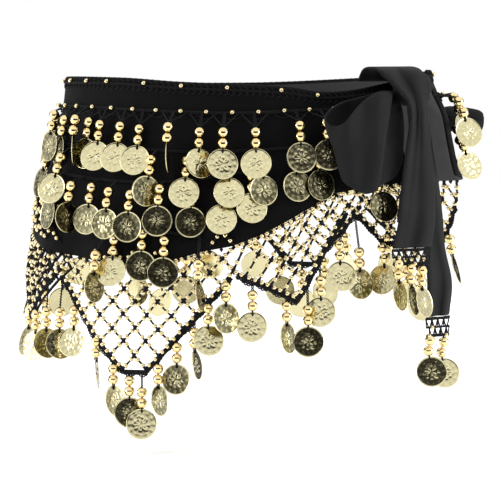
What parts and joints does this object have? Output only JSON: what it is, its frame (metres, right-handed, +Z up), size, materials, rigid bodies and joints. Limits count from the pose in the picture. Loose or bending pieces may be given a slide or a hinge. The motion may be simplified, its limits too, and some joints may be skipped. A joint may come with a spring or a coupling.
{
  "type": "coin hip scarf",
  "caption": "Black velvet hip scarf with crochet net points, gold beads and hanging coins, worn round the hips and tied at one side in a knot with a loop and tails.",
  "frame": {"origin": "middle of the ring where the wearer's hips hold the scarf, at the height of its top edge", "axes": "+Z up the wearer's body, -Y towards the wearer's front, +X to the wearer's left, where the knot is"},
  "size_m": [0.3782, 0.3015, 0.2956],
  "materials": {
    "velvet": "deep black pile",
    "crepe": "smooth dark grey cloth",
    "crochet": "matt black yarn",
    "gold": "polished"
  },
  "bodies": {
    "root": {"velvet_panel": "velvet", "top_edging": "crochet", "chain_1": "gold", "chain_2": "gold", "chain_3": "gold", "chain_4": "gold", "net_back_4": "crochet", "net_back_3": "crochet", "net_back_2": "crochet", "net_back_1": "crochet", "net_side": "crochet", "net_front_long": "crochet", "net_front_mid": "crochet", "net_front_knot": "crochet", "braid_back_4": "gold", "braid_back_3": "gold", "braid_back_2": "gold", "braid_back_1": "gold", "braid_side": "gold", "braid_front_long": "gold", "braid_front_mid": "gold", "braid_front_knot": "gold", "crepe_loop": "crepe", "knot": "crepe", "tail_front": "crepe", "tail_behind": "crepe", "lace_front": "gold", "lace_behind": "gold", "rolled_end": "crepe"}
  },
  "joints": []
}
